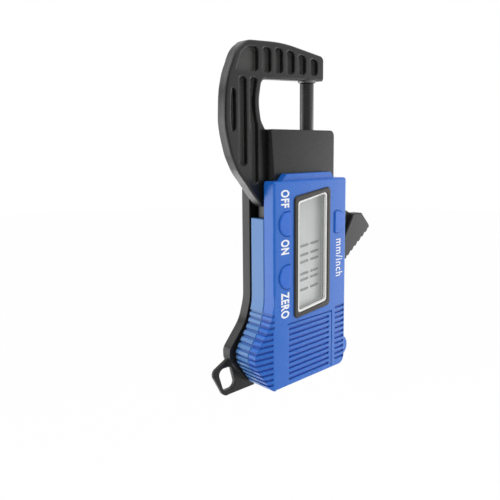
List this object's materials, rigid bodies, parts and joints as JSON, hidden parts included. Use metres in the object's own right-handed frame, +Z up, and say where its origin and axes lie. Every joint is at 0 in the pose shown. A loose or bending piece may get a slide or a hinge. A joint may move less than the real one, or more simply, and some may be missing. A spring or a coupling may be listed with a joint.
{
  "type": "digital thickness gauge",
  "caption": "Pocket digital thickness gauge: C-shaped head with fixed anvil over a sprung spindle, thumb lever, display and buttons in a blue housing with grip ribs and a lanyard loop.",
  "frame": {"origin": "centre of the anvil's measuring face, on the spindle axis", "axes": "+Z up along the gauge and the spindle axis towards the anvil, front with the display facing -Y, +X towards the thumb lever"},
  "size_m": [0.0666, 0.02, 0.1124],
  "materials": {
    "black_plastic": "fine grained moulded black",
    "blue_plastic": "satin moulded blue",
    "pale_blue_plastic": "satin moulded paler blue",
    "button_plastic": "satin moulded blue",
    "bezel_plastic": "satin dark grey",
    "white_plastic": "gloss white",
    "window": "clear gloss",
    "lcd": "grey display cell",
    "lever_plastic": "fine grained moulded black",
    "carriage_plastic": "plain moulded dark grey",
    "dark_steel": "blackened and ground",
    "steel": "bright turned",
    "brass": "turned",
    "nickel": "plated spring strip",
    "cell": "plated can",
    "rubber": "matt",
    "board": "green board",
    "scale": "copper coloured pattern on film",
    "chip": "matt black"
  },
  "bodies": {
    "housing": {"frame": "black_plastic", "nose_block": "black_plastic", "anvil": "dark_steel", "upper_bush": "brass", "lower_bush": "brass", "guide_rod": "steel", "spring_post": "steel", "return_spring": "steel", "front_cover": "blue_plastic", "middle_shell": "pale_blue_plastic", "back_cover": "black_plastic", "case_screws": "steel", "display_bezel": "bezel_plastic", "window_frame": "white_plastic", "display_lens": "window", "lcd_panel": "lcd", "contact_strips": "rubber", "circuit_board": "board", "processor_chip": "chip", "scale_strip": "scale", "switch_domes": "steel", "board_screws": "steel", "battery": "cell", "battery_minus_contact": "nickel", "battery_plus_contact": "nickel"},
    "measuring_slide": {"spindle": "dark_steel", "carriage": "carriage_plastic", "clamp_screw": "steel", "reader_plate": "board", "thumb_lever": "lever_plastic", "lever_screw": "steel"},
    "on_off_key": {"on_off_button": "button_plastic"},
    "zero_key": {"zero_button": "button_plastic"},
    "unit_key": {"unit_button": "button_plastic"},
    "door": {"battery_door": "black_plastic"}
  },
  "joints": [
    {"name": "measuring_slide", "type": "slide", "parent": "housing", "child": "measuring_slide", "axis": [0, 0, 1], "range_m": [-0.0127, 0], "stiffness_N_per_m": 60, "springref_m": 0.01, "deforming": ["return_spring"]},
    {"name": "on_off_press", "type": "slide", "parent": "housing", "child": "on_off_key", "axis": [0, 1, 0], "range_m": [0, 0.0004], "stiffness_N_per_m": 600, "springref_m": -0.0004},
    {"name": "zero_press", "type": "slide", "parent": "housing", "child": "zero_key", "axis": [0, 1, 0], "range_m": [0, 0.0004], "stiffness_N_per_m": 600, "springref_m": -0.0004},
    {"name": "unit_press", "type": "slide", "parent": "housing", "child": "unit_key", "axis": [0, 1, 0], "range_m": [0, 0.0004], "stiffness_N_per_m": 600, "springref_m": -0.0004},
    {"name": "door_lift", "type": "slide", "parent": "housing", "child": "door", "axis": [0, 1, 0], "range_m": [0, 0.012]}
  ]
}
